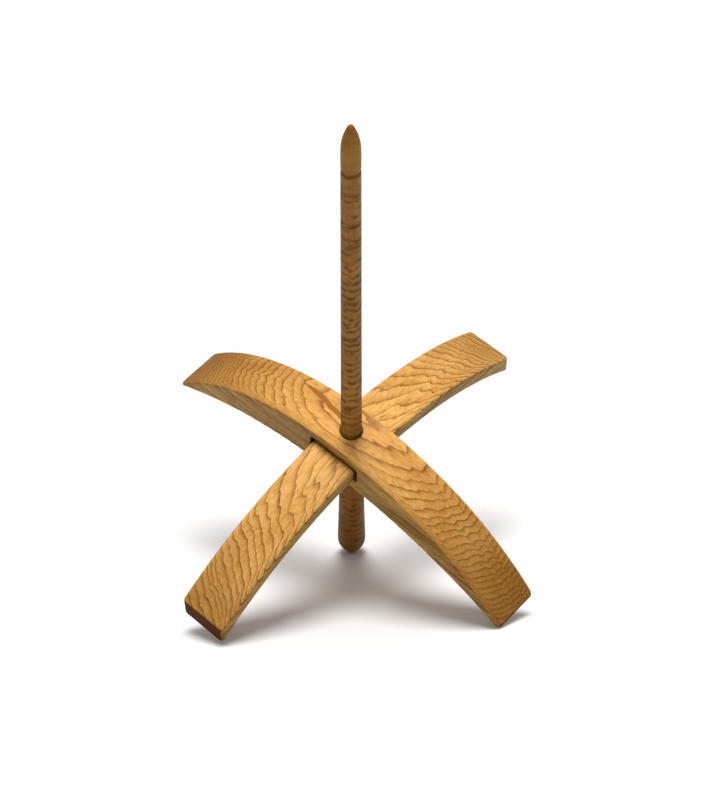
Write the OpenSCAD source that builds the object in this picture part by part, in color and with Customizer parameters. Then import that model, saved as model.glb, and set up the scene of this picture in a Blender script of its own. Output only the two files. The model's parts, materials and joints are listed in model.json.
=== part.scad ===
// Turkish drop spindle: two bowed cross arms held on a tapered shaft.
// The spindle lies as it rests on a table, on its two front arm tips and on the
// rounded butt of the shaft, so the shaft leans toward -Y. Lengths are in millimetres.

/* [Arms] */
// Length of both arms, tip to tip
arm_span = 140; // [120:1:160]
// Width of both arms
arm_width = 17.5; // [15:0.1:18]
// Depth of the arm tips below the top of the outer arm
arm_drop = 34.3; // [30:0.1:40]
// Corner radius of the arm tips, seen from above
tip_corner = 1.7; // [0.5:0.1:3]

/* [Outer arm] */
// Thickness at the middle
outer_thickness = 15.9; // [15:0.1:18]
// Thickness at the tips
outer_tip = 1.3; // [1:0.1:4]
// Radius of the two long top edges
outer_top_edge = 1.2; // [0.4:0.1:1.6]
// Radius of the two long bottom edges
outer_bottom_edge = 0.8; // [0.4:0.1:1.2]

/* [Slot through the outer arm] */
// Length of the slot along the outer arm
slot_length = 19.2; // [18.5:0.1:22]
// Thickness of the wood above the slot
slot_roof = 3.9; // [3:0.1:4.2]
// Height of the slot
slot_height = 7.4; // [7:0.1:8]
// Corner radius of the slot
slot_corner = 1; // [0.4:0.1:2]

/* [Inner arm] */
// Depth of the top of the inner arm below the top of the outer arm
inner_depth = 4.6; // [4.4:0.1:5]
// Thickness along the whole arm
inner_thickness = 6.2; // [5:0.1:6.2]
// Radius of the four long edges
inner_edge = 1.2; // [0.4:0.1:2]

/* [Shaft] */
// Length of the shaft above the top of the outer arm
shaft_above = 145; // [120:1:180]
// Length of the shaft below the top of the outer arm
shaft_below = 73.7; // [60:0.1:80]
// Diameter of the butt where it starts to round off, the thickest part of the shaft
butt_diameter = 9.5; // [8.5:0.1:11]
// Length of the rounded end of the butt
butt_length = 7.6; // [7.5:0.1:14]
// Radius at the very end of the butt
butt_nose_radius = 2; // [1:0.1:3]
// Diameter at the top of the outer arm
hub_diameter = 6.7; // [6:0.1:7.5]
// Diameter at the foot of the bullet-shaped tip
top_diameter = 5.7; // [5:0.1:6]
// Length of the bullet-shaped tip
bullet_length = 10; // [8:0.5:18]
// Radius of the nose of the tip
nose_radius = 1; // [0.5:0.1:1.5]
// Distance of the yarn hitch groove below the nose
groove_below_nose = 17.5; // [14:0.5:26]
// Width of the yarn hitch groove
groove_width = 1.8; // [1:0.1:3]
// Depth of the yarn hitch groove
groove_depth = 0.35; // [0.2:0.05:0.6]

/* [Fit of the arms on the shaft] */
// Gap between the shaft and the taper bored in the outer arm
outer_bore_gap = 0.05; // [0.03:0.01:0.3]
// Gap between the shaft and the taper bored in the inner arm
inner_bore_gap = 0.1; // [0.03:0.01:0.4]
// Radius of the worn mouth of the bore in the top of the outer arm
bore_mouth = 0.2; // [0.1:0.1:0.8]

/* [Hidden] */
$fn = 144;
cut = 1;
arm_turn = 45;
half_span = arm_span / 2;
half_width = arm_width / 2;

// Radius of an arc from its half chord and its rise
function arc_radius(half_chord, rise) =
    (half_chord * half_chord + rise * rise) / (2 * rise);
// Drop of an arc of a given radius at a distance from its crown
function arc_fall(radius, distance) =
    radius - sqrt(radius * radius - distance * distance);

outer_top_radius = arc_radius(half_span, arm_drop - outer_tip);
outer_bottom_radius = arc_radius(half_span, arm_drop - outer_thickness);
inner_bottom = inner_depth + inner_thickness;
inner_bottom_radius = arc_radius(half_span, arm_drop - inner_bottom);
inner_top_radius = inner_bottom_radius + inner_thickness;

// The shaft has one taper below the top of the outer arm and a finer one above it.
butt_radius = butt_diameter / 2;
hub_radius = hub_diameter / 2;
top_radius = top_diameter / 2;
butt_centre = shaft_below - butt_nose_radius;
butt_foot = shaft_below - butt_length;
bullet_foot = shaft_above - bullet_length;
groove_height = shaft_above - groove_below_nose;
function shaft_radius_below(depth) =
    hub_radius + (butt_radius - hub_radius) * depth / butt_foot;
function shaft_radius_above(height) =
    hub_radius + (top_radius - hub_radius) * height / bullet_foot;

// The groove is part of a circle that cuts the shaft to the groove's width and depth.
groove_radius = arc_radius(groove_width / 2, groove_depth);

// The table touches the rounded corner of each front tip at this angle to the arm.
contact_angle = 25;
contact_along = half_span - tip_corner + tip_corner * cos(contact_angle);
contact_across = half_width - tip_corner + tip_corner * sin(contact_angle);
contact_out = cos(arm_turn) * (contact_along + contact_across);
contact_depth = outer_thickness + arc_fall(outer_bottom_radius, contact_along);

// The lean brings the two front tips and the round butt down to one level.
contact_reach = norm([contact_out, butt_centre - contact_depth]);
lean = asin(butt_nose_radius / contact_reach)
    + atan2(butt_centre - contact_depth, contact_out);
table_depth = butt_centre * cos(lean) + butt_nose_radius;
front_reach = (shaft_above - nose_radius) * sin(lean) + nose_radius;
back_reach = contact_out * cos(lean) + contact_depth * sin(lean);
middle_y = (back_reach - front_reach) / 2;

// From the spindle's own axes, shaft upright with zero at the top of the outer arm,
// to the way it rests on the table
module at_rest() {
    translate([0, -middle_y, table_depth])
        rotate([lean, 0, 0])
            children();
}

// Outline of an arm seen from above
module arm_outline() {
    straight_length = arm_span - 2 * tip_corner;
    straight_width = arm_width - 2 * tip_corner;
    square([arm_span, straight_width], center = true);
    square([straight_length, arm_width], center = true);
    for (x = [-straight_length / 2, straight_length / 2])
        for (y = [-straight_width / 2, straight_width / 2])
            translate([x, y])
                circle(r = tip_corner);
}

// A solid block of the arm's outline, deeper than the arm
module arm_block() {
    translate([0, 0, -arm_drop - cut])
        linear_extrude(height = arm_drop + 2 * cut)
            arm_outline();
}

// Turns a round solid about Z into one whose rim crowns at a depth under the hub
module bowed(radius, depth) {
    translate([0, 0, -depth - radius])
        rotate([90, 0, 0])
            children();
}

// A wheel as wide as the arm with rounded rims
module rim_wheel(radius, edge) {
    rotate_extrude() {
        translate([0, -half_width + edge])
            square([radius, arm_width - 2 * edge]);
        translate([0, -half_width])
            square([radius - edge, arm_width]);
        for (y = [-half_width + edge, half_width - edge])
            translate([radius - edge, y])
                circle(r = edge);
    }
}

// Half of the cutter's flare, which rounds one long bottom edge
module edge_flare(radius, edge) {
    difference() {
        translate([radius - cut, half_width - edge])
            square([edge + cut, edge + cut]);
        translate([radius + edge, half_width - edge])
            circle(r = edge);
    }
}

// A wheel that hollows the underside of an arm and rounds its long bottom edges
module hollow_wheel(radius, edge) {
    rotate_extrude() {
        translate([0, -half_width - cut])
            square([radius, arm_width + 2 * cut]);
        edge_flare(radius, edge);
        mirror([0, 1])
            edge_flare(radius, edge);
    }
}

// The tapered bore for the shaft between two depths, with a gap round the shaft
module shaft_bore(depth, gap) {
    translate([0, 0, -depth])
        cylinder(
            h = depth,
            r1 = shaft_radius_below(depth) + gap,
            r2 = hub_radius + gap
        );
    cylinder(h = cut, r = hub_radius + gap);
}

// The worn mouth of the bore: a short countersink
module worn_mouth() {
    mouth = hub_radius + outer_bore_gap;
    translate([0, 0, -bore_mouth])
        cylinder(h = bore_mouth + cut, r1 = mouth, r2 = mouth + bore_mouth + cut);
}

// The slot that takes the inner arm, cut straight across the outer arm
module slot() {
    inner_l = slot_length - 2 * slot_corner;
    inner_h = slot_height - 2 * slot_corner;
    translate([0, 0, -slot_roof - slot_height / 2])
        rotate([90, 0, 0])
            translate([0, 0, -half_width - cut])
                linear_extrude(height = arm_width + 2 * cut) {
                    square([slot_length, inner_h], center = true);
                    square([inner_l, slot_height], center = true);
                    for (x = [-inner_l / 2, inner_l / 2])
                        for (y = [-inner_h / 2, inner_h / 2])
                            translate([x, y])
                                circle(r = slot_corner);
                }
}

// Outer arm: arched underside, thin tips, slot through its middle, front tip to +X
module outer_arm() {
    color([0.82, 0.62, 0.36])
        at_rest()
            rotate([0, 0, -arm_turn])
                difference() {
                    intersection() {
                        arm_block();
                        bowed(outer_top_radius, 0)
                            rim_wheel(outer_top_radius, outer_top_edge);
                    }
                    bowed(outer_bottom_radius, outer_thickness)
                        hollow_wheel(outer_bottom_radius, outer_bottom_edge);
                    slot();
                    shaft_bore(outer_thickness + cut, outer_bore_gap);
                    worn_mouth();
                }
}

// Inner arm: one even thickness, passes through the slot, front tip to -X
module inner_arm() {
    color([0.86, 0.66, 0.39])
        at_rest()
            rotate([0, 0, arm_turn])
                difference() {
                    intersection() {
                        arm_block();
                        bowed(inner_top_radius, inner_depth)
                            rim_wheel(inner_top_radius, inner_edge);
                    }
                    bowed(inner_bottom_radius, inner_bottom)
                        hollow_wheel(inner_bottom_radius, inner_edge);
                    shaft_bore(inner_bottom + cut, inner_bore_gap);
                }
}

// Half profile of the straight tapers of the shaft
module taper_profile() {
    polygon([
        [0, -butt_foot],
        [butt_radius, -butt_foot],
        [hub_radius, 0],
        [top_radius, bullet_foot],
        [0, bullet_foot]
    ]);
}

// Half profile of a bullet-shaped end: an arc that meets the shaft and the nose smoothly
module bullet_profile(foot_radius, length, nose) {
    nose_centre = length - nose;
    side_radius = (foot_radius * foot_radius + nose_centre * nose_centre - nose * nose)
        / (2 * (foot_radius - nose));
    side_end = nose_centre * side_radius / (side_radius - nose);
    intersection() {
        translate([foot_radius - side_radius, 0])
            circle(r = side_radius);
        square([2 * foot_radius, side_end]);
    }
    intersection() {
        translate([0, nose_centre])
            circle(r = nose);
        square([2 * foot_radius, length]);
    }
}

// Shaft: turned in one piece, thick rounded butt below, slim tip with a hitch groove above
module shaft() {
    groove_middle = shaft_radius_above(groove_height) - groove_depth + groove_radius;
    color([0.52, 0.35, 0.19])
        at_rest()
            rotate_extrude()
                difference() {
                    union() {
                        taper_profile();
                        translate([0, bullet_foot])
                            bullet_profile(top_radius, bullet_length, nose_radius);
                        translate([0, -butt_foot])
                            mirror([0, 1])
                                bullet_profile(butt_radius, butt_length, butt_nose_radius);
                    }
                    translate([groove_middle, groove_height])
                        circle(r = groove_radius);
                }
}

shaft();
outer_arm();
inner_arm();
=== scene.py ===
import json
import math

import bmesh
import bpy
import numpy as np
from mathutils import Matrix, Vector, noise


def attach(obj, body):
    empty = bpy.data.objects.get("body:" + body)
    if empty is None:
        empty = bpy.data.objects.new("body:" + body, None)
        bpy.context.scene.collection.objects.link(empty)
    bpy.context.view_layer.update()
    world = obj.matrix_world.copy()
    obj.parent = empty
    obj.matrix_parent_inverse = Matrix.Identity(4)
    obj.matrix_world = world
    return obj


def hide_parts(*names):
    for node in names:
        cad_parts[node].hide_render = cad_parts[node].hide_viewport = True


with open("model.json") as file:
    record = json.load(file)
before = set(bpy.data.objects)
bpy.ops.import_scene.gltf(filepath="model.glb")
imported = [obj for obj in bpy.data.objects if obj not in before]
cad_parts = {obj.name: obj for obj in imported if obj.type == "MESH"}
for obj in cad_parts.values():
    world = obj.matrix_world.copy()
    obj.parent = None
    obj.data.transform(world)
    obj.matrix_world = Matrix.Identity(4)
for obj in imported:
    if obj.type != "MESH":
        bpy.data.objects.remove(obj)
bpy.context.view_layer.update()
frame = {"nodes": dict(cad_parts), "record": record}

MM = 0.001

# Sizes of the CAD model that the looks follow, in millimetres
ARM_HALF_SPAN = 70.0
ARM_DROP = 34.3
OUTER_THICKNESS = 15.9
OUTER_TIP = 1.3
INNER_DEPTH = 4.6
INNER_THICKNESS = 6.2
SWIVEL_DEPTH = 7.7

# ---------------------------------------------------------------- the spindle's own axes
# The shaft leans in the row frame. A piece's mesh is kept in the spindle's own axes,
# zero at the top of the outer arm, with the arm along X and the shaft along Z, so
# that the wood grain of each piece can run with that piece.
swivel = next(j for j in frame["record"]["behaviour"]["joints"] if j["type"] == "hinge")
SHAFT_AXIS = Vector(swivel["axis"]).normalized()
HUB_TOP = Vector(swivel["pos_m"]) + SWIVEL_DEPTH * MM * SHAFT_AXIS
LEAN = math.atan2(-SHAFT_AXIS.y, SHAFT_AXIS.z)


def own_axes(turn):
    """Matrix from a piece's own axes to the row frame, for an arm turned by so many degrees."""
    lean = Matrix.Rotation(LEAN, 4, "X")
    return Matrix.Translation(HUB_TOP) @ lean @ Matrix.Rotation(math.radians(turn), 4, "Z")


def new_piece(name, mesh, placement, node):
    """An object for a finished mesh, put in place of a CAD node on the body of the same name."""
    piece = bpy.data.objects.new(name, mesh)
    bpy.context.scene.collection.objects.link(piece)
    piece.matrix_world = placement
    for polygon in mesh.polygons:
        polygon.use_smooth = True
    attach(piece, node)
    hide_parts(node)
    return piece


# ---------------------------------------------------------------- shapes
VOXEL = 0.34 * MM
SMOOTHING_ROUNDS = 8
FACETS_UNDER = 0.07 * MM
BORE_REACH = 6 * MM


def arc_radius(half_chord, rise):
    """Radius of an arc from its half chord and its rise."""
    return (half_chord * half_chord + rise * rise) / (2 * rise)


def bow_radius(depth):
    """Radius of a long face that crowns at a depth and meets the tips at the arm's drop."""
    return arc_radius(ARM_HALF_SPAN, ARM_DROP - depth)


# The long faces of each arm, top then bottom: radius, and depth of the crown below the hub
INNER_BOTTOM = INNER_DEPTH + INNER_THICKNESS
LONG_FACES = {
    "outer_arm": (
        (bow_radius(OUTER_TIP), 0.0),
        (bow_radius(OUTER_THICKNESS), OUTER_THICKNESS),
    ),
    "inner_arm": (
        (bow_radius(INNER_BOTTOM) + INNER_THICKNESS, INNER_DEPTH),
        (bow_radius(INNER_BOTTOM), INNER_BOTTOM),
    ),
}


def onto_arcs(mesh, faces):
    """Takes the flats of the CAD mesh out of the long bowed faces."""
    for radius, depth in faces:
        centre = -(depth + radius) * MM
        for v in mesh.vertices:
            away = math.hypot(v.co.x, v.co.z - centre)
            if abs(away - radius * MM) < FACETS_UNDER:
                grow = radius * MM / away
                v.co.x *= grow
                v.co.z = centre + (v.co.z - centre) * grow


def sanded_arm(node, name, turn, seed):
    """An arm with the edges eased and the faces slightly uneven, as sandpaper leaves them."""
    placement = own_axes(turn)
    mesh = frame["nodes"][node].data.copy()
    mesh.transform(placement.inverted())
    mesh.materials.clear()
    rough = bpy.data.objects.new(name + "_rough", mesh)
    bpy.context.scene.collection.objects.link(rough)
    remesh = rough.modifiers.new("even_faces", "REMESH")
    remesh.mode = "VOXEL"
    remesh.voxel_size = VOXEL
    soften = rough.modifiers.new("eased_edges", "SMOOTH")
    soften.factor = 0.5
    soften.iterations = SMOOTHING_ROUNDS
    evaluated = rough.evaluated_get(bpy.context.evaluated_depsgraph_get())
    smooth = bpy.data.meshes.new_from_object(evaluated)
    bpy.data.objects.remove(rough)
    onto_arcs(smooth, LONG_FACES[node])
    uneven(smooth, seed)
    return new_piece(name, smooth, placement, node)


def uneven(mesh, seed):
    """Moves the faces away from the bore in by about 0.06 mm, in long shallow hollows."""
    normals = [v.normal.copy() for v in mesh.vertices]
    shift = Vector((seed * 3.1, seed * 1.7, seed * 0.9))
    for v, normal in zip(mesh.vertices, normals):
        if math.hypot(v.co.x, v.co.y) < BORE_REACH:
            continue
        slow = noise.noise(v.co * 60 + shift)
        fast = noise.noise(Vector((v.co.x * 110, v.co.y * 300, v.co.z * 300)) + shift)
        v.co -= normal * (0.06 + 0.05 * slow + 0.015 * fast) * MM


def shaft_outline(node, placement):
    """The shaft's radius at each height, read from the CAD node's own corners."""
    to_own = placement.inverted()
    heights = {}
    for v in frame["nodes"][node].data.vertices:
        p = to_own @ v.co
        z = round(p.z, 5)
        heights[z] = max(heights.get(z, 0.0), math.hypot(p.x, p.y))
    z = sorted(heights)
    return np.array(z), np.array([heights[h] for h in z])


def turned_shaft(node, name):
    """The shaft turned from its outline, with the slight waviness that turning leaves."""
    placement = own_axes(0)
    z_known, r_known = shaft_outline(node, placement)
    low, high = z_known[0], z_known[-1]
    around, step = 96, 0.4 * MM
    rounds = int((high - low) / step)
    ends = 0.5 - 0.5 * np.cos(np.linspace(0, math.pi, 13))
    inner = np.linspace(low + 3 * step, high - 3 * step, rounds)
    z = np.concatenate([low + ends[1:-1] * 3 * step, inner, high - 3 * step + ends[1:-1] * 3 * step])
    r = np.interp(z, z_known, r_known)
    bm = bmesh.new()
    rings = []
    for zi, ri in zip(z, r):
        ring = []
        for k in range(around):
            a = 2 * math.pi * k / around
            wave = noise.noise(Vector((math.cos(a) * 0.8, math.sin(a) * 0.8, zi * 240)))
            band = noise.noise(Vector((0.0, 7.0, zi * 700)))
            radius = ri * (1 - 0.006 * (1 + wave) - 0.004 * (1 + band))
            ring.append(bm.verts.new((radius * math.cos(a), radius * math.sin(a), zi)))
        rings.append(ring)
    for lower, upper in zip(rings, rings[1:]):
        for k in range(around):
            n = (k + 1) % around
            bm.faces.new((lower[k], lower[n], upper[n], upper[k]))
    for ring, zi in ((rings[0], low), (rings[-1], high)):
        centre = bm.verts.new((0, 0, zi))
        for k in range(around):
            n = (k + 1) % around
            corners = (centre, ring[n], ring[k]) if zi == low else (centre, ring[k], ring[n])
            bm.faces.new(corners)
    mesh = bpy.data.meshes.new(name)
    bm.to_mesh(mesh)
    bm.free()
    return new_piece(name, mesh, placement, node)


# ---------------------------------------------------------------- shader tools
class Graph:
    """Short calls for the nodes of one material. Values are sockets or plain numbers."""

    def __init__(self, name):
        self.material = bpy.data.materials.new(name)
        self.material.use_nodes = True
        self.tree = self.material.node_tree
        self.tree.nodes.clear()

    def node(self, kind, **settings):
        made = self.tree.nodes.new(kind)
        for key, value in settings.items():
            setattr(made, key, value)
        return made

    def put(self, socket, value):
        if isinstance(value, bpy.types.NodeSocket):
            self.tree.links.new(value, socket)
        else:
            socket.default_value = value

    def math(self, operation, a, b=0.0, c=0.0):
        n = self.node("ShaderNodeMath", operation=operation)
        for socket, value in zip(n.inputs, (a, b, c)):
            self.put(socket, value)
        return n.outputs[0]

    def add(self, *values):
        total = values[0]
        for value in values[1:]:
            total = self.math("ADD", total, value)
        return total

    def mul(self, *values):
        total = values[0]
        for value in values[1:]:
            total = self.math("MULTIPLY", total, value)
        return total

    def step(self, value, low, high):
        """0 below low, 1 above high, smooth between."""
        n = self.node("ShaderNodeMapRange", interpolation_type="SMOOTHSTEP")
        self.put(n.inputs["Value"], value)
        self.put(n.inputs["From Min"], low)
        self.put(n.inputs["From Max"], high)
        return n.outputs["Result"]

    def xyz(self, x, y, z):
        n = self.node("ShaderNodeCombineXYZ")
        for socket, value in zip(n.inputs, (x, y, z)):
            self.put(socket, value)
        return n.outputs[0]

    def noise(self, vector, detail=2.0, roughness=0.5):
        """Noise between about -1 and 1."""
        n = self.node("ShaderNodeTexNoise", noise_dimensions="3D")
        self.put(n.inputs["Vector"], vector)
        self.put(n.inputs["Scale"], 1.0)
        self.put(n.inputs["Detail"], detail)
        self.put(n.inputs["Roughness"], roughness)
        return self.math("MULTIPLY_ADD", n.outputs["Fac"], 2.0, -1.0)

    def ramp(self, value, stops):
        """A grey level that runs through the stops, each a place from 0 to 1 and a level."""
        n = self.node("ShaderNodeValToRGB")
        self.put(n.inputs["Fac"], value)
        band = n.color_ramp
        while len(band.elements) < len(stops):
            band.elements.new(0.5)
        for element, (position, level) in zip(band.elements, stops):
            element.position = position
            element.color = (level, level, level, 1)
        return n.outputs["Color"]

    def mix(self, factor, a, b, blend="MIX"):
        n = self.node("ShaderNodeMix", data_type="RGBA", blend_type=blend)
        self.put(n.inputs["Factor"], factor)
        self.put(n.inputs["A"], (*a, 1) if isinstance(a, tuple) else a)
        self.put(n.inputs["B"], (*b, 1) if isinstance(b, tuple) else b)
        return n.outputs["Result"]

    def own_point(self):
        """The point in the piece's own axes, in millimetres, as x, y, z."""
        coords = self.node("ShaderNodeTexCoord")
        scaled = self.node("ShaderNodeVectorMath", operation="SCALE")
        self.put(scaled.inputs["Vector"], coords.outputs["Object"])
        self.put(scaled.inputs["Scale"], 1 / MM)
        parts = self.node("ShaderNodeSeparateXYZ")
        self.put(parts.inputs[0], scaled.outputs[0])
        return parts.outputs

    def own_normal(self):
        """The surface's direction in the piece's own axes, as x, y, z."""
        shape = self.node("ShaderNodeNewGeometry")
        turn = self.node(
            "ShaderNodeVectorTransform",
            vector_type="NORMAL",
            convert_from="WORLD",
            convert_to="OBJECT",
        )
        self.put(turn.inputs[0], shape.outputs["Normal"])
        parts = self.node("ShaderNodeSeparateXYZ")
        self.put(parts.inputs[0], turn.outputs[0])
        return parts.outputs

    def times(self, colour, tint, amount):
        """Multiplies a colour by a tint, as far as amount says."""
        return self.mix(amount, colour, tint, "MULTIPLY")

    def finish(self, colour, height, depth, roughness, gloss):
        bump = self.node("ShaderNodeBump")
        self.put(bump.inputs["Height"], height)
        self.put(bump.inputs["Distance"], depth)
        surface = self.node("ShaderNodeBsdfPrincipled")
        self.put(surface.inputs["Base Color"], colour)
        self.put(surface.inputs["Roughness"], roughness)
        self.put(surface.inputs["Normal"], bump.outputs["Normal"])
        self.put(surface.inputs["Specular IOR Level"], gloss)
        output = self.node("ShaderNodeOutputMaterial")
        self.put(output.inputs["Surface"], surface.outputs[0])
        return self.material


# ---------------------------------------------------------------- wood of the arms
# Lengths in the wood are in millimetres and noise scales are per millimetre. A piece's
# x runs along the arm, y across it toward the back and z up along the shaft.
RING = 1.45
YEARS_ABOVE_ZERO = 400.0
LATE_WOOD = (0.22, 0.07, 0.008)
RESIN = (0.3, 0.1, 0.012)
# painted shade for the arms' crossing inside the slot
SLOT_PAINTED_SHADE = (0.05, 0.016, 0.005)
# darker rim round the bore: rubbing wear and painted shade
BORE_WEAR_AND_SHADE = (0.12, 0.042, 0.012)
END_EARLY, END_LATE = (0.085, 0.026, 0.008), (0.035, 0.01, 0.003)
# darkening of faces across the fibres: oil, and painted shade toward the tips
SLANT_OIL_AND_SHADE = (0.31, 0.24, 0.09)
# side faces: quarter-sawn tone and painted shade
SIDE_TONE_AND_SHADE = (0.7, 0.77, 0.68)
THREAD_TINT = (0.4, 0.36, 0.28)
FIBRE_TINT = (0.7, 0.63, 0.5)
PORE_TINT = (0.55, 0.45, 0.35)
ARM_RELIEF = 0.09 * MM
ARM_GLOSS = 0.06
# Share of late wood through one year, from spring to spring
LATE_THROUGH_YEAR = [
    (0.0, 0.08), (0.05, 0.0), (0.35, 0.04), (0.62, 0.2),
    (0.8, 0.45), (0.89, 0.88), (0.98, 1.0), (1.0, 0.1),
]


def notch(g, y, centre, half_width):
    """A sharp dip in the growth rings, 1 at its middle and 0 beyond its sides."""
    away = g.math("ABSOLUTE", g.math("SUBTRACT", y, centre))
    return g.math("MAXIMUM", g.math("SUBTRACT", 1.0, g.math("DIVIDE", away, half_width)), 0.0)


def outer_rings(g, x, y, z):
    """Growth rings of the outer arm: nearly level, turned up at the front edge, with two dips."""
    reach = g.math("ABSOLUTE", x)
    drift = g.noise(g.xyz(g.mul(x, 0.045), 0.0, 3.0), detail=1.0)
    tilt = g.mul(y, 0.17)
    edge = g.add(-5.4, g.mul(drift, 1.2), g.mul(reach, -0.03))
    turned_up = g.mul(g.math("MINIMUM", g.math("SUBTRACT", y, edge), 0.0), 1.6)
    arched = g.mul(g.math("POWER", g.math("ABSOLUTE", g.add(y, -1.5)), 2.0), -0.011)
    first = notch(g, y, g.add(0.6, g.mul(drift, 2.0)), 1.5)
    second = notch(g, y, g.add(5.4, g.mul(drift, -1.4)), 1.2)
    dips = g.add(
        g.mul(first, g.step(reach, 24.0, 44.0), 0.5),
        g.mul(second, g.add(0.15, g.mul(g.step(reach, 44.0, 58.0), 0.4))),
    )
    return g.add(z, tilt, turned_up, arched, dips)


def inner_rings(g, x, y, z):
    """Growth rings of the inner arm: sloping across it, steeper at the front edge."""
    reach = g.math("ABSOLUTE", x)
    drift = g.noise(g.xyz(g.mul(x, 0.05), 5.0, 0.0), detail=1.0)
    tilt = g.mul(y, -0.3)
    edge = g.add(-6.2, g.mul(drift, 1.2))
    steeper = g.mul(g.math("MINIMUM", g.math("SUBTRACT", y, edge), 0.0), -0.9)
    near = g.math("SUBTRACT", 1.0, g.step(reach, 34.0, 52.0))
    dips = g.mul(notch(g, y, g.add(-1.4, g.mul(drift, 3.0)), 1.6), near, 0.6)
    return g.add(z, tilt, steeper, dips)


def resin_band(g, x, y):
    """The resinous band of the outer arm, from the shaft toward the back left."""
    wander = g.noise(g.xyz(g.mul(x, 0.16), 2.0, 0.0), detail=2.0)
    middle = g.add(0.5, g.mul(x, -0.2), g.mul(wander, 1.0))
    length = g.mul(g.step(x, -28.0, -17.0), g.math("SUBTRACT", 1.0, g.step(x, -6.0, -2.0)))
    width = g.add(0.05, g.mul(length, 1.25))
    away = g.math("ABSOLUTE", g.math("SUBTRACT", y, middle))
    inside = g.math("SUBTRACT", 1.0, g.step(g.math("DIVIDE", away, width), 0.45, 1.0))
    return g.mul(inside, g.step(length, 0.0, 0.5))


def resin_flecks(g, x, y):
    """A few faint resinous flecks of the inner arm."""
    flecks = g.noise(g.xyz(g.mul(x, 0.09), g.mul(y, 0.8), 6.0), detail=1.0)
    return g.mul(g.step(flecks, 0.5, 0.8), 0.45)


def slot_walls_shade_mask(g, x, y, z):
    """1 on the walls of the outer arm's slot, where painted shade goes."""
    deep = g.math("SUBTRACT", 1.0, g.step(g.math("ABSOLUTE", y), 7.9, 8.6))
    below_roof = g.math("SUBTRACT", 1.0, g.step(z, -4.1, -3.6))
    above_sill = g.step(z, -11.7, -11.2)
    within = g.math("SUBTRACT", 1.0, g.step(g.math("ABSOLUTE", x), 9.7, 10.1))
    return g.mul(deep, below_roof, above_sill, within)


def inner_slot_shade_mask(g, x, y, z):
    """1 on the length of the inner arm that lies in the slot, where painted shade goes."""
    return g.math("SUBTRACT", 1.0, g.step(g.math("ABSOLUTE", x), 8.4, 9.2))


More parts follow.
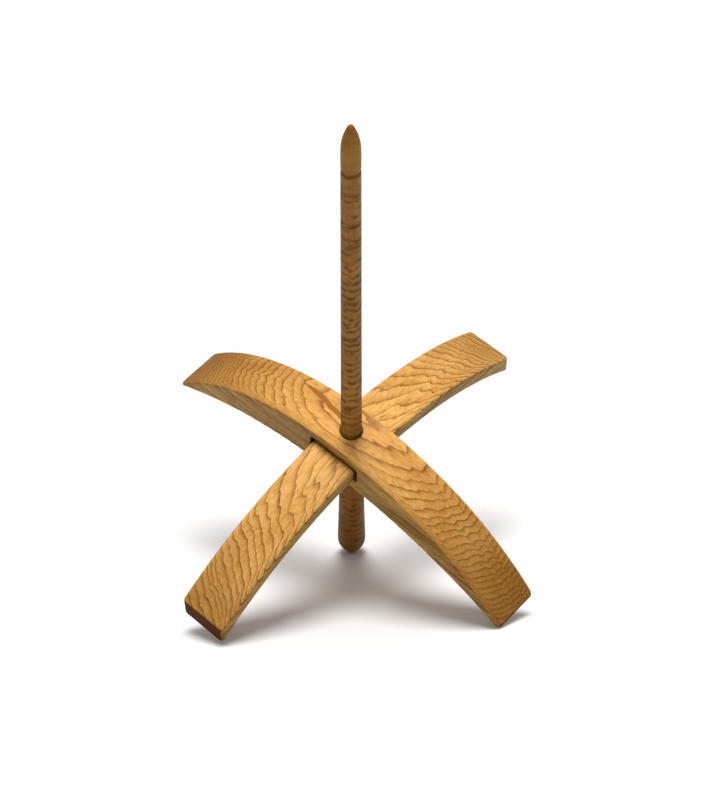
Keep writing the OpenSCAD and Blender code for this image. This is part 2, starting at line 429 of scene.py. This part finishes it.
def arm_wood(name, rings, resin, slot_shade_mask, seed, pale, rich):
    """Oiled softwood: fine dark latewood lines on a honey ground, dark on the end grain."""
    g = Graph(name)
    x, y, z = g.own_point()
    nx, ny, nz = g.own_normal()
    shift = float(seed) * 11.0

    slow = g.noise(g.xyz(g.mul(x, 0.016), g.mul(y, 0.06), g.add(g.mul(z, 0.05), shift)), detail=1.0)
    wavy = g.noise(g.xyz(g.mul(x, 0.06), g.mul(y, 0.3), g.add(g.mul(z, 0.12), shift)), detail=2.0)
    kinked = g.math("ABSOLUTE", g.noise(g.xyz(g.mul(x, 0.05), g.mul(y, 0.26), shift + 4.0), detail=1.0))
    fine = g.noise(g.xyz(g.mul(x, 0.35), g.mul(y, 1.4), g.mul(z, 0.7)), detail=2.0)
    field = g.add(
        rings(g, x, y, z),
        g.mul(slow, 2.4),
        g.mul(wavy, 0.5),
        g.mul(kinked, 0.8),
        g.mul(fine, 0.1),
    )
    count = g.math("DIVIDE", field, RING)
    uneven_years = g.noise(g.xyz(g.mul(count, 0.33), shift, 2.0), detail=1.0)
    count = g.add(count, g.mul(uneven_years, 0.85))
    year = g.math("FRACT", g.add(count, YEARS_ABOVE_ZERO))
    late = g.ramp(year, LATE_THROUGH_YEAR)
    number = g.math("FLOOR", g.add(count, YEARS_ABOVE_ZERO))
    which = g.noise(g.xyz(g.mul(number, 0.77), shift, 9.0), detail=0.0)
    patch = g.noise(g.xyz(g.mul(x, 0.06), g.mul(y, 0.2), g.add(g.mul(z, 0.2), shift)), detail=2.0)
    strength = g.math("MINIMUM", g.add(0.8, g.mul(which, 0.35), g.mul(patch, 0.4)), 1.0)
    late = g.mul(late, strength)

    # colour: pale early wood, orange-brown late wood, broad drifts of tone, short fibre streaks
    broad = g.noise(g.xyz(g.mul(x, 0.04), g.mul(y, 0.13), g.add(g.mul(z, 0.1), shift)), detail=3.0)
    fibres = g.noise(g.xyz(g.mul(x, 0.3), g.mul(y, 1.3), g.mul(z, 1.3)), detail=3.0, roughness=0.7)
    pores = g.noise(g.xyz(g.mul(x, 1.0), g.mul(y, 3.0), g.mul(z, 3.0)), detail=2.0, roughness=0.7)
    ground = g.mix(g.step(broad, -0.5, 0.5), pale, rich)
    ground = g.times(ground, FIBRE_TINT, g.step(fibres, -0.25, 0.5))
    colour = g.mix(g.mul(late, 0.95), ground, LATE_WOOD)
    colour = g.times(colour, PORE_TINT, g.mul(g.step(pores, 0.1, 0.8), 0.45))

    # the more a face cuts across the fibres, the more oil it drinks and the darker it is; the same
    # darkening toward the tips is also painted shade
    across = g.math("ABSOLUTE", nx)
    slant_oil_and_shade = g.math("MINIMUM", g.math("MAXIMUM", g.add(g.mul(across, 1.3), -0.14), 0.0), 1.0)
    colour = g.times(colour, SLANT_OIL_AND_SHADE, slant_oil_and_shade)
    side = g.step(g.math("ABSOLUTE", ny), 0.55, 0.95)
    layers = g.add(g.mul(z, 1.1), g.mul(y, 0.1))
    threads = g.noise(g.xyz(g.mul(x, 0.03), g.mul(y, 0.3), layers), detail=3.0, roughness=0.7)
    # side faces darker: partly their quarter-sawn tone, partly painted shade for faces turned down away
    # from the light
    colour = g.times(colour, SIDE_TONE_AND_SHADE, side)
    colour = g.times(colour, THREAD_TINT, g.mul(side, g.step(threads, -0.2, 0.3)))
    end_grain = g.step(across, 0.86, 0.96)
    end_tone = g.mix(late, END_EARLY, END_LATE)
    colour = g.mix(end_grain, colour, end_tone)

    # dense resinous wood
    colour = g.mix(resin(g, x, y), colour, RESIN)

    # painted shade where the two arms cross inside the slot, for the shadow under the slot's roof
    slot_shade = g.mul(slot_shade_mask(g, x, y, z), 0.8)
    colour = g.mix(slot_shade, colour, SLOT_PAINTED_SHADE)

    # a darker rim round the bore: rubbing wear, and painted shade where the shaft enters the arm
    from_shaft = g.math("SQRT", g.add(g.mul(x, x), g.mul(y, y)))
    bore_wear_and_shade = g.mul(g.math("SUBTRACT", 1.0, g.step(from_shaft, 3.4, 4.1)), 0.8)
    colour = g.mix(bore_wear_and_shade, colour, BORE_WEAR_AND_SHADE)

    height = g.add(g.mul(late, 0.55), g.mul(fibres, 0.22), g.mul(pores, 0.12), g.mul(wavy, 0.5))
    roughness = g.add(0.46, g.mul(late, -0.1), g.mul(fibres, 0.05), g.mul(end_grain, 0.4))
    return g.finish(colour, height, ARM_RELIEF, roughness, ARM_GLOSS)


# ---------------------------------------------------------------- wood of the shaft
SHAFT_LIGHT, SHAFT_DEEP = (0.29, 0.136, 0.028), (0.215, 0.094, 0.017)
SHAFT_FIBRE_TINT = (0.6, 0.5, 0.4)
CROSS_FLECK = (0.07, 0.024, 0.004)
LOW_END_TINT = (0.84, 0.74, 0.6)
NOSE = (0.2, 0.06, 0.01)
SCORCHED = (0.075, 0.02, 0.003)
SHAFT_RELIEF = 0.07 * MM
SHAFT_GLOSS = 0.05


def shaft_wood(name, groove_z):
    """Brown turned hardwood with dark cross flecks, and a scorched line in the groove."""
    g = Graph(name)
    x, y, z = g.own_point()
    fibres = g.noise(g.xyz(g.mul(x, 2.6), g.mul(y, 2.6), g.mul(z, 0.09)), detail=3.0, roughness=0.6)
    tone = g.noise(g.xyz(g.mul(x, 0.15), g.mul(y, 0.15), g.mul(z, 0.05)), detail=2.0)
    bend = g.noise(g.xyz(g.mul(x, 0.3), g.mul(y, 0.3), g.mul(z, 0.12)), detail=1.0)
    warped = g.add(z, g.mul(bend, 1.4))
    flecks = g.noise(g.xyz(g.mul(x, 0.2), g.mul(y, 0.2), g.mul(warped, 0.3)), detail=3.0, roughness=0.6)
    lines = g.noise(g.xyz(g.mul(x, 0.4), g.mul(y, 0.4), g.mul(warped, 0.6)), detail=2.0)
    ripple = g.math("SINE", g.add(g.mul(warped, 1.9), g.mul(flecks, 5.0)))
    dark = g.step(g.add(g.mul(flecks, 0.7), g.mul(lines, 0.6), g.mul(ripple, 0.24)), -0.25, 0.5)
    plain_tip = g.step(z, groove_z - 12.0, groove_z - 2.0)
    low = g.math("SUBTRACT", 1.0, g.step(z, -60.0, 10.0))
    dark = g.mul(dark, g.add(1.0, g.mul(plain_tip, -0.7), g.mul(low, -0.35)))

    ground = g.mix(g.step(tone, -0.5, 0.5), SHAFT_LIGHT, SHAFT_DEEP)
    ground = g.times(ground, SHAFT_FIBRE_TINT, g.mul(g.step(fibres, -0.2, 0.7), 0.6))
    colour = g.mix(g.mul(dark, 0.8), ground, CROSS_FLECK)
    colour = g.times(colour, LOW_END_TINT, low)
    nose = g.step(z, groove_z + 12.0, groove_z + 17.0)
    colour = g.mix(g.mul(nose, 0.6), colour, NOSE)
    line = g.math("ABSOLUTE", g.math("SUBTRACT", z, g.add(groove_z - 0.3, g.mul(bend, 0.3))))
    scorched = g.math("SUBTRACT", 1.0, g.step(line, 0.3, 1.3))
    scorched = g.mul(scorched, g.add(0.75, g.mul(tone, 0.5)))
    colour = g.mix(g.mul(scorched, 0.8), colour, SCORCHED)

    height = g.add(g.mul(fibres, 0.2), g.mul(dark, -0.5), g.mul(lines, 0.25))
    roughness = g.add(0.42, g.mul(dark, 0.08), g.mul(fibres, 0.05))
    return g.finish(colour, height, SHAFT_RELIEF, roughness, SHAFT_GLOSS)


# ---------------------------------------------------------------- floor, light and camera
FLOOR_SIZE = 6.0
FLOOR_WHITE = (0.73, 0.725, 0.72, 1)
SKY_DARKEST, SKY_BRIGHTEST = 0.2, 0.65
LAMP_STRENGTH = 3.55
LAMP_WIDTH = math.radians(30)
LAMP_DIRECTION = Vector((0.0, 0.15, -0.99))


def pale_floor():
    """A plain matt floor, wide enough to fill the view."""
    bpy.ops.mesh.primitive_plane_add(size=FLOOR_SIZE, location=(0, 0, 0))
    floor = bpy.context.object
    floor.name = "floor"
    g = Graph("paper_white")
    surface = g.node("ShaderNodeBsdfPrincipled")
    g.put(surface.inputs["Base Color"], FLOOR_WHITE)
    g.put(surface.inputs["Roughness"], 0.6)
    output = g.node("ShaderNodeOutputMaterial")
    g.put(output.inputs["Surface"], surface.outputs[0])
    floor.data.materials.append(g.material)


def studio():
    """A soft sky, brightest overhead, and one broad light from above and a little in front."""
    world = bpy.data.worlds.new("soft_sky")
    bpy.context.scene.world = world
    world.use_nodes = True
    tree = world.node_tree
    coords = tree.nodes.new("ShaderNodeTexCoord")
    parts = tree.nodes.new("ShaderNodeSeparateXYZ")
    level = tree.nodes.new("ShaderNodeMapRange")
    level.inputs["To Min"].default_value = SKY_DARKEST
    level.inputs["To Max"].default_value = SKY_BRIGHTEST
    tree.links.new(coords.outputs["Generated"], parts.inputs[0])
    tree.links.new(parts.outputs["Z"], level.inputs["Value"])
    tree.links.new(level.outputs["Result"], tree.nodes["Background"].inputs["Strength"])
    tree.nodes["Background"].inputs["Color"].default_value = (1, 1, 1, 1)
    lamp = bpy.data.lights.new("overhead", "SUN")
    lamp.energy = LAMP_STRENGTH
    lamp.angle = LAMP_WIDTH
    overhead = bpy.data.objects.new("overhead", lamp)
    bpy.context.scene.collection.objects.link(overhead)
    overhead.rotation_euler = LAMP_DIRECTION.to_track_quat("-Z", "Y").to_euler()
    view = bpy.context.scene.view_settings
    view.view_transform = "Standard"
    view.look = "None"


# The camera's direction and roll, its distance from the hub, the point it aims at beside
# and above the hub, and its lens
AZIMUTH, ELEVATION, ROLL = math.radians(2.04), math.radians(20.03), math.radians(-1.86)
DISTANCE, AIM_RIGHT, AIM_UP = 0.6927, 0.0032, 0.0094
LENS, SENSOR = 98.79, 36.0


def product_camera():
    """Stands a little to the left of the front and looks slightly down, shaft upright in view."""
    ahead = Vector((math.sin(AZIMUTH), math.cos(AZIMUTH), 0.0))
    forward = ahead * math.cos(ELEVATION) + Vector((0.0, 0.0, -math.sin(ELEVATION)))
    level = forward.cross(Vector((0, 0, 1))).normalized()
    right = Matrix.Rotation(-ROLL, 3, forward) @ level
    up = right.cross(forward)
    data = bpy.data.cameras.new("camera")
    data.lens = LENS
    data.sensor_width = SENSOR
    data.clip_start, data.clip_end = 0.05, 20.0
    camera = bpy.data.objects.new("camera", data)
    bpy.context.scene.collection.objects.link(camera)
    aim = HUB_TOP + right * AIM_RIGHT + up * AIM_UP
    axes = Matrix((right, up, -forward)).transposed().to_4x4()
    camera.matrix_world = Matrix.Translation(aim - forward * DISTANCE) @ axes
    bpy.context.scene.camera = camera


# ---------------------------------------------------------------- the object
OUTER_PALE, OUTER_RICH = (0.74, 0.41, 0.118), (0.62, 0.305, 0.07)
INNER_PALE, INNER_RICH = (0.79, 0.45, 0.14), (0.66, 0.345, 0.088)

outer = sanded_arm("outer_arm", "outer_arm_sanded", -45, 1)
outer.data.materials.append(
    arm_wood("outer_arm_oiled", outer_rings, resin_band, slot_walls_shade_mask, 1, OUTER_PALE, OUTER_RICH)
)

inner = sanded_arm("inner_arm", "inner_arm_sanded", 45, 2)
inner.data.materials.append(
    arm_wood("inner_arm_oiled", inner_rings, resin_flecks, inner_slot_shade_mask, 2, INNER_PALE, INNER_RICH)
)

shaft = turned_shaft("shaft", "shaft_turned")
groove = next(m for m in frame["record"]["mounts"] if m["name"] == "hitch_groove")
groove_z = (Vector(groove["pos_m"]) - HUB_TOP).dot(SHAFT_AXIS) / MM
shaft.data.materials.append(shaft_wood("shaft_turned_oiled", groove_z))

pale_floor()
studio()
product_camera()
